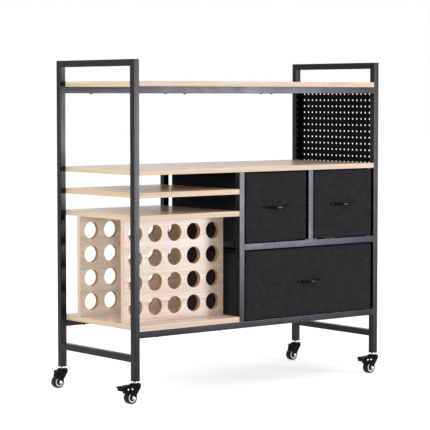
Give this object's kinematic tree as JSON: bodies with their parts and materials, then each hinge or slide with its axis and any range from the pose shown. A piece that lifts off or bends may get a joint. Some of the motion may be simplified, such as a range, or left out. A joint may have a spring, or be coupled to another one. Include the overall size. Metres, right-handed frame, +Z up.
{
  "type": "rolling craft cart",
  "caption": "Rolling steel-frame craft cart with wood shelves, a roll holder, fabric drawers, a perforated side panel and swivel casters.",
  "frame": {"origin": "on the floor, under the middle of the whole cart, pulls and casters included", "axes": "+X to the right along the cart's length, +Y from the drawer fronts to the back, +Z up"},
  "size_m": [1.0496, 0.4296, 1.017],
  "materials": {
    "frame_steel": "satin dark grey powder coat",
    "board": "pale matt wood grain",
    "insert_board": "plain pressed board",
    "drawer_fabric": "heathered charcoal non-woven fabric",
    "pull_metal": "satin black",
    "perforated_steel": "satin black",
    "fastener_steel": "dull zinc",
    "zinc": "bright zinc",
    "tyre": "matt black",
    "wheel_plastic": "off-white",
    "fork_black": "semi-gloss black",
    "black_plastic": "matt black"
  },
  "bodies": {
    "root": {"left_front_post": "frame_steel", "left_back_post": "frame_steel", "left_handle_bar": "frame_steel", "right_front_post": "frame_steel", "right_back_post": "frame_steel", "right_handle_bar": "frame_steel", "stretchers": "frame_steel", "top_front_rail": "frame_steel", "bottom_front_rail": "frame_steel", "mid_front_rail": "frame_steel", "middle_front_post": "frame_steel", "top_back_rail": "frame_steel", "bottom_back_rail": "frame_steel", "mid_back_rail": "frame_steel", "middle_back_post": "frame_steel", "short_posts": "frame_steel", "top_board": "board", "second_board": "board", "third_board": "board", "fourth_board": "board", "bottom_board": "board", "side_panel": "perforated_steel", "roll_panel_front": "board", "roll_panel_back": "board", "upper_left_runners": "frame_steel", "upper_right_runners": "frame_steel", "lower_runners": "frame_steel", "leg_sockets": "black_plastic", "caster_stems": "zinc", "board_bolts": "fastener_steel", "side_panel_screws": "fastener_steel"},
    "upper_left_drawer": {"upper_left_bin": "drawer_fabric", "upper_left_base_board": "insert_board", "upper_left_pull": "pull_metal"},
    "upper_right_drawer": {"upper_right_bin": "drawer_fabric", "upper_right_base_board": "insert_board", "upper_right_pull": "pull_metal"},
    "lower_drawer": {"lower_bin": "drawer_fabric", "lower_base_board": "insert_board", "lower_pull": "pull_metal"},
    "front_left_caster": {"front_left_fork": "fork_black", "front_left_pins": "zinc"},
    "front_left_wheel": {"front_left_tyre": "tyre", "front_left_wheel_core": "wheel_plastic"},
    "front_left_brake": {"front_left_brake_pedal": "black_plastic"},
    "front_right_caster": {"front_right_fork": "fork_black", "front_right_pins": "zinc"},
    "front_right_wheel": {"front_right_tyre": "tyre", "front_right_wheel_core": "wheel_plastic"},
    "front_right_brake": {"front_right_brake_pedal": "black_plastic"},
    "back_left_caster": {"back_left_fork": "fork_black", "back_left_pins": "zinc"},
    "back_left_wheel": {"back_left_tyre": "tyre", "back_left_wheel_core": "wheel_plastic"},
    "back_right_caster": {"back_right_fork": "fork_black", "back_right_pins": "zinc"},
    "back_right_wheel": {"back_right_tyre": "tyre", "back_right_wheel_core": "wheel_plastic"}
  },
  "joints": [
    {"name": "upper_left_drawer_slide", "type": "slide", "parent": "root", "child": "upper_left_drawer", "axis": [0, -1, 0], "range_m": [0, 0.3]},
    {"name": "upper_right_drawer_slide", "type": "slide", "parent": "root", "child": "upper_right_drawer", "axis": [0, -1, 0], "range_m": [0, 0.3]},
    {"name": "lower_drawer_slide", "type": "slide", "parent": "root", "child": "lower_drawer", "axis": [0, -1, 0], "range_m": [0, 0.3]},
    {"name": "front_left_swivel", "type": "hinge", "parent": "root", "child": "front_left_caster", "pos_m": [-0.46085, -0.18575, 0.06], "axis": [0, 0, 1], "continuous": true},
    {"name": "front_left_wheel_spin", "type": "hinge", "parent": "front_left_caster", "child": "front_left_wheel", "pos_m": [-0.47885, -0.18575, 0.019], "axis": [0, 1, 0], "continuous": true},
    {"name": "front_left_brake_tilt", "type": "hinge", "parent": "front_left_caster", "child": "front_left_brake", "pos_m": [-0.49655, -0.18575, 0.0457], "axis": [0, -1, 0], "range_deg": [0, 15]},
    {"name": "front_right_swivel", "type": "hinge", "parent": "root", "child": "front_right_caster", "pos_m": [0.50915, -0.18575, 0.06], "axis": [0, 0, 1], "continuous": true},
    {"name": "front_right_wheel_spin", "type": "hinge", "parent": "front_right_caster", "child": "front_right_wheel", "pos_m": [0.49115, -0.18575, 0.019], "axis": [0, 1, 0], "continuous": true},
    {"name": "front_right_brake_tilt", "type": "hinge", "parent": "front_right_caster", "child": "front_right_brake", "pos_m": [0.47345, -0.18575, 0.0457], "axis": [0, -1, 0], "range_deg": [0, 15]},
    {"name": "back_left_swivel", "type": "hinge", "parent": "root", "child": "back_left_caster", "pos_m": [-0.46085, 0.19825, 0.06], "axis": [0, 0, 1], "continuous": true},
    {"name": "back_left_wheel_spin", "type": "hinge", "parent": "back_left_caster", "child": "back_left_wheel", "pos_m": [-0.47885, 0.19825, 0.019], "axis": [0, 1, 0], "continuous": true},
    {"name": "back_right_swivel", "type": "hinge", "parent": "root", "child": "back_right_caster", "pos_m": [0.50915, 0.19825, 0.06], "axis": [0, 0, 1], "continuous": true},
    {"name": "back_right_wheel_spin", "type": "hinge", "parent": "back_right_caster", "child": "back_right_wheel", "pos_m": [0.49115, 0.19825, 0.019], "axis": [0, 1, 0], "continuous": true}
  ]
}
